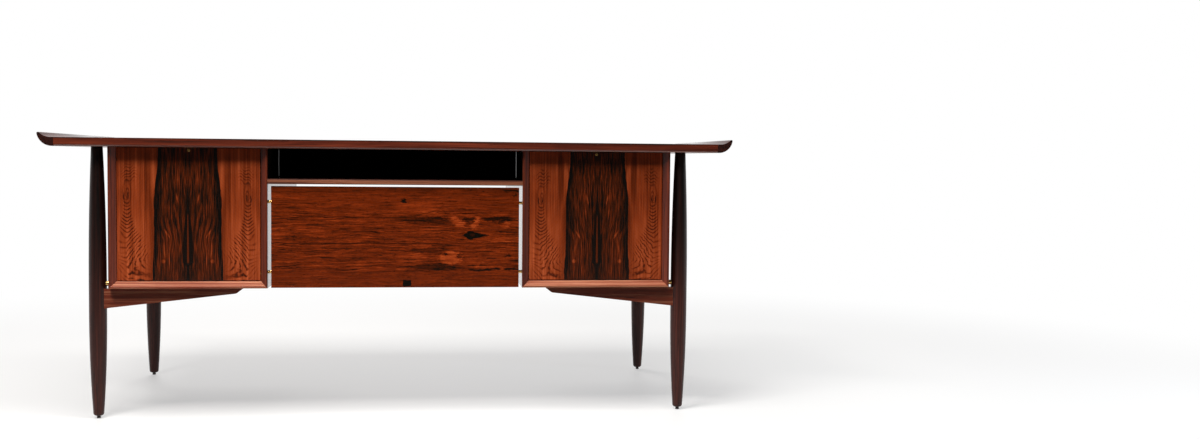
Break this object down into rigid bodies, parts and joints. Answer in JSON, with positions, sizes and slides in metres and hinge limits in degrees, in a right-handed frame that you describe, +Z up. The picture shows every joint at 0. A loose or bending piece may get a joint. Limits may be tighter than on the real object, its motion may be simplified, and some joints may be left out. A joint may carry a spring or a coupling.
{
  "type": "executive desk",
  "caption": "Rosewood executive desk with upturned ends, turned legs, hanging pedestals with fall flaps and drawers, a kneehole shelf and a modesty panel on brass spacers.",
  "frame": {"origin": "on the floor, under the middle of the top", "axes": "+X along the desk, to the right as a visitor sees it; +Y from the visitor's side to the sitter's side; +Z up"},
  "size_m": [1.7998, 0.8, 0.7423],
  "materials": {
    "rosewood_top": "lacquered veneer",
    "rosewood_edge": "lacquered solid wood",
    "rosewood_dark": "lacquered solid wood, dark",
    "rosewood_side": "lacquered veneer",
    "rosewood_strip": "lacquered solid wood, bevelled",
    "rosewood_flap": "lacquered bookmatched veneer",
    "rosewood_panel": "lacquered veneer, grain across",
    "rosewood_drawer": "lacquered veneer and solid pull",
    "mahogany": "satin inner wood",
    "beech": "plain wood",
    "black_stain": "black stain, matt",
    "brass": "turned and polished",
    "steel": "plain steel"
  },
  "bodies": {
    "desk": {"arm_sitter_left": "rosewood_edge", "arm_sitter_right": "rosewood_edge", "arm_spacers": "brass", "arm_visitor_left": "rosewood_edge", "arm_visitor_right": "rosewood_edge", "flap_pivot_pins": "brass", "kneehole_shelf": "rosewood_edge", "left_bar_floor": "mahogany", "left_bottom": "rosewood_side", "left_inner_side": "rosewood_side", "left_outer_side": "rosewood_side", "left_partition": "mahogany", "left_runners": "beech", "left_strips": "rosewood_strip", "left_top_board": "mahogany", "leg_glides": "steel", "leg_sitter_left": "rosewood_dark", "leg_sitter_right": "rosewood_dark", "leg_spacers": "brass", "leg_visitor_left": "rosewood_dark", "leg_visitor_right": "rosewood_dark", "lock_strikes": "brass", "modesty_panel": "rosewood_panel", "panel_spacers": "brass", "right_bar_floor": "mahogany", "right_bottom": "rosewood_side", "right_inner_side": "rosewood_side", "right_outer_side": "rosewood_side", "right_partition": "mahogany", "right_runners": "beech", "right_strips": "rosewood_strip", "right_top_board": "mahogany", "shelf_divider": "black_stain", "shelf_dowels": "beech", "top_edge_sitter": "rosewood_edge", "top_edge_visitor": "rosewood_edge", "top_lip_left": "rosewood_dark", "top_lip_right": "rosewood_dark", "top_panel": "rosewood_top", "top_screws": "steel"},
    "right_flap": {"right_flap": "rosewood_flap", "right_lock_barrel": "brass"},
    "right_lock": {"right_lock_cam": "brass"},
    "right_top_drawer": {"right_top_drawer_front": "rosewood_drawer", "right_top_drawer_box": "mahogany"},
    "right_middle_drawer": {"right_middle_drawer_front": "rosewood_drawer", "right_middle_drawer_box": "mahogany"},
    "right_bottom_drawer": {"right_bottom_drawer_front": "rosewood_drawer", "right_bottom_drawer_box": "mahogany"},
    "left_flap": {"left_flap": "rosewood_flap", "left_lock_barrel": "brass"},
    "left_lock": {"left_lock_cam": "brass"},
    "left_top_drawer": {"left_top_drawer_front": "rosewood_drawer", "left_top_drawer_box": "mahogany"},
    "left_middle_drawer": {"left_middle_drawer_front": "rosewood_drawer", "left_middle_drawer_box": "mahogany"},
    "left_bottom_drawer": {"left_bottom_drawer_front": "rosewood_drawer", "left_bottom_drawer_box": "mahogany"}
  },
  "joints": [
    {"name": "right_flap_hinge", "type": "hinge", "parent": "desk", "child": "right_flap", "pos_m": [0.533, -0.3605, 0.38], "axis": [1, 0, 0], "range_deg": [0, 90]},
    {"name": "right_lock_turn", "type": "hinge", "parent": "right_flap", "child": "right_lock", "pos_m": [0.533, -0.36, 0.7], "axis": [0, -1, 0], "range_deg": [0, 90]},
    {"name": "right_top_drawer_slide", "type": "slide", "parent": "desk", "child": "right_top_drawer", "axis": [0, 1, 0], "range_m": [0, 0.33]},
    {"name": "right_middle_drawer_slide", "type": "slide", "parent": "desk", "child": "right_middle_drawer", "axis": [0, 1, 0], "range_m": [0, 0.33]},
    {"name": "right_bottom_drawer_slide", "type": "slide", "parent": "desk", "child": "right_bottom_drawer", "axis": [0, 1, 0], "range_m": [0, 0.33]},
    {"name": "left_flap_hinge", "type": "hinge", "parent": "desk", "child": "left_flap", "pos_m": [-0.533, -0.3605, 0.38], "axis": [1, 0, 0], "range_deg": [0, 90]},
    {"name": "left_lock_turn", "type": "hinge", "parent": "left_flap", "child": "left_lock", "pos_m": [-0.533, -0.36, 0.7], "axis": [0, 1, 0], "range_deg": [0, 90]},
    {"name": "left_top_drawer_slide", "type": "slide", "parent": "desk", "child": "left_top_drawer", "axis": [0, 1, 0], "range_m": [0, 0.33]},
    {"name": "left_middle_drawer_slide", "type": "slide", "parent": "desk", "child": "left_middle_drawer", "axis": [0, 1, 0], "range_m": [0, 0.33]},
    {"name": "left_bottom_drawer_slide", "type": "slide", "parent": "desk", "child": "left_bottom_drawer", "axis": [0, 1, 0], "range_m": [0, 0.33]}
  ]
}
